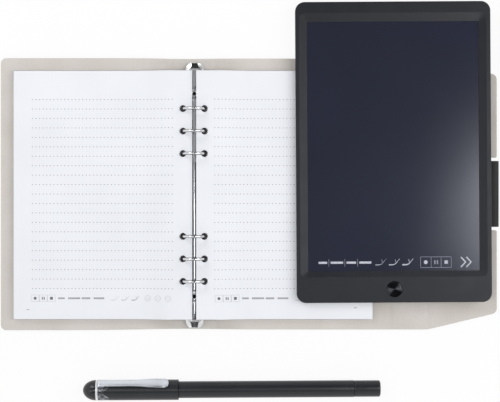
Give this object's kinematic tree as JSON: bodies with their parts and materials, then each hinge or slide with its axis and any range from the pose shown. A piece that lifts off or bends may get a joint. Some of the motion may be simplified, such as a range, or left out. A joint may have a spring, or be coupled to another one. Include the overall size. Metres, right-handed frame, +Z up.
{
  "type": "smart notebook",
  "caption": "Open A5 ring binder with folding covers and flap, chrome rings, dotted pages, a writing tablet lying on it and a capped digital pen in front.",
  "frame": {"origin": "on the table, under the middle of the ring mechanism", "axes": "+X to the right across the open pages, +Y to their top edge, +Z up"},
  "size_m": [0.4236, 0.3382, 0.023],
  "materials": {
    "cover_leather": "satin",
    "cover_board": "matte",
    "cover_lining": "matte",
    "magnet": "satin",
    "ring_chrome": "polished",
    "spring_steel": "satin",
    "paper": "matte",
    "tablet_plastic": "satin",
    "screen": "gloss",
    "panel_plastic": "matte",
    "button_metal": "spun",
    "circuit": "satin",
    "battery_steel": "satin",
    "pen_gloss": "gloss",
    "pen_satin": "satin",
    "pen_chrome": "polished",
    "clip_silver": "satin",
    "pen_plastic": "satin",
    "camera_glass": "gloss",
    "refill_metal": "satin"
  },
  "bodies": {
    "spine": {"spine_skin": "cover_leather", "spine_board": "cover_board", "spine_lining": "cover_lining", "ring_cover_plate": "ring_chrome", "ring_rivets": "ring_chrome"},
    "front_cover": {"front_cover_skin": "cover_leather", "front_cover_board": "cover_board", "front_cover_lining": "cover_lining", "cover_steel_discs": "magnet"},
    "back_cover": {"back_cover_skin": "cover_leather", "back_cover_board": "cover_board", "back_cover_lining": "cover_lining"},
    "fore_edge": {"fore_edge_skin": "cover_leather", "fore_edge_board": "cover_board", "fore_edge_lining": "cover_lining"},
    "flap": {"flap_skin": "cover_leather", "flap_board": "cover_board", "flap_lining": "cover_lining", "flap_magnets": "magnet", "pen_loop": "cover_leather"},
    "left_rings": {"left_hinge_blade": "spring_steel", "left_half_rings": "ring_chrome"},
    "right_rings": {"right_hinge_blade": "spring_steel", "right_half_rings": "ring_chrome"},
    "top_lever": {"top_trigger": "ring_chrome"},
    "bottom_lever": {"bottom_trigger": "ring_chrome"},
    "left_pages": {"left_page_block": "paper"},
    "leaf": {"left_leaf": "paper"},
    "right_pages": {"right_page_block": "paper", "right_top_sheet": "paper"},
    "tablet": {"tablet_rear_shell": "tablet_plastic", "tablet_bezel": "tablet_plastic", "writing_film": "screen", "backing_panel": "panel_plastic", "circuit_board": "circuit", "button_switch": "circuit", "coin_cell": "battery_steel", "battery_contacts": "spring_steel", "battery_door": "tablet_plastic", "door_screw": "spring_steel", "case_screws": "spring_steel"},
    "button": {"erase_button": "button_metal"},
    "lock": {"lock_slider": "tablet_plastic"},
    "pen": {"pen_barrel": "pen_satin", "nose_cone": "pen_plastic", "camera_window": "camera_glass", "pressure_sensor": "circuit", "pen_circuit_board": "circuit", "pen_battery": "battery_steel"},
    "nib": {"ink_refill": "refill_metal"},
    "pen_cap": {"pen_cap_dome": "pen_gloss", "pen_cap_ring": "pen_chrome", "pen_cap_collar": "pen_chrome", "pen_cap_tube": "pen_satin", "cap_liner": "pen_plastic", "pocket_clip": "clip_silver"},
    "pen_plug": {"end_plug": "pen_gloss"}
  },
  "joints": [
    {"name": "front_cover_fold", "type": "hinge", "parent": "spine", "child": "front_cover", "pos_m": [-0.019, 0, 0.003], "axis": [0, 1, 0], "range_deg": [0, 90]},
    {"name": "left_pages_turn", "type": "hinge", "parent": "spine", "child": "left_pages", "pos_m": [0, 0, 0.0135], "axis": [0, 1, 0], "range_deg": [0, 90]},
    {"name": "back_cover_fold", "type": "hinge", "parent": "spine", "child": "back_cover", "pos_m": [0.019, 0, 0.003], "axis": [0, -1, 0], "range_deg": [0, 90]},
    {"name": "right_pages_turn", "type": "hinge", "parent": "spine", "child": "right_pages", "pos_m": [0, 0, 0.0135], "axis": [0, -1, 0], "range_deg": [0, 90]},
    {"name": "leaf_turn", "type": "hinge", "parent": "left_pages", "child": "leaf", "pos_m": [0, 0, 0.0135], "axis": [0, -1, 0], "range_deg": [-172, 0]},
    {"name": "fore_edge_fold", "type": "hinge", "parent": "back_cover", "child": "fore_edge", "pos_m": [0.1665, 0, 0], "axis": [0, -1, 0], "range_deg": [-172, 0]},
    {"name": "flap_fold", "type": "hinge", "parent": "fore_edge", "child": "flap", "pos_m": [0.199, 0, 0], "axis": [0, 1, 0], "range_deg": [0, 172]},
    {"name": "rings_open", "type": "hinge", "parent": "spine", "child": "left_rings", "pos_m": [-0.0068, 0, 0.0045], "axis": [0, 1, 0], "range_deg": [-13, 0]},
    {"name": "right_rings_open", "type": "hinge", "parent": "spine", "child": "right_rings", "pos_m": [0.0068, 0, 0.0045], "axis": [0, 1, 0], "range_deg": [0, 13]},
    {"name": "top_lever_press", "type": "hinge", "parent": "spine", "child": "top_lever", "pos_m": [0, 0.1039, 0.00375], "axis": [1, 0, 0], "range_deg": [-13, 0]},
    {"name": "bottom_lever_press", "type": "hinge", "parent": "spine", "child": "bottom_lever", "pos_m": [0, -0.1039, 0.00375], "axis": [1, 0, 0], "range_deg": [0, 13]},
    {"name": "tablet_lift", "type": "slide", "parent": "right_pages", "child": "tablet", "axis": [0, 0, -1], "range_m": [-0.15, 0]},
    {"name": "button_press", "type": "slide", "parent": "tablet", "child": "button", "axis": [0, 0, -1], "range_m": [0, 0.00035], "stiffness_N_per_m": 300},
    {"name": "lock_slide", "type": "slide", "parent": "tablet", "child": "lock", "axis": [1, 0.0061, 0], "range_m": [0, 0.003]},
    {"name": "pen_lift", "type": "slide", "parent": "spine", "child": "pen", "axis": [0, 0, 1], "range_m": [0, 0.1]},
    {"name": "cap_pull", "type": "slide", "parent": "pen", "child": "pen_cap", "axis": [-1, -0.0061, 0], "range_m": [0, 0.06]},
    {"name": "nib_press", "type": "slide", "parent": "pen", "child": "nib", "axis": [1, 0.0061, 0], "range_m": [0, 0.0004], "stiffness_N_per_m": 500},
    {"name": "plug_pull", "type": "slide", "parent": "pen", "child": "pen_plug", "axis": [1, 0.0061, 0], "range_m": [0, 0.012]}
  ],
  "couplings": [
    {"joint": "left_pages_turn", "follows": "front_cover_fold", "ratio": 1},
    {"joint": "right_pages_turn", "follows": "back_cover_fold", "ratio": 1},
    {"joint": "right_rings_open", "follows": "rings_open", "ratio": -1},
    {"joint": "top_lever_press", "follows": "rings_open", "ratio": 1},
    {"joint": "bottom_lever_press", "follows": "rings_open", "ratio": -1}
  ]
}
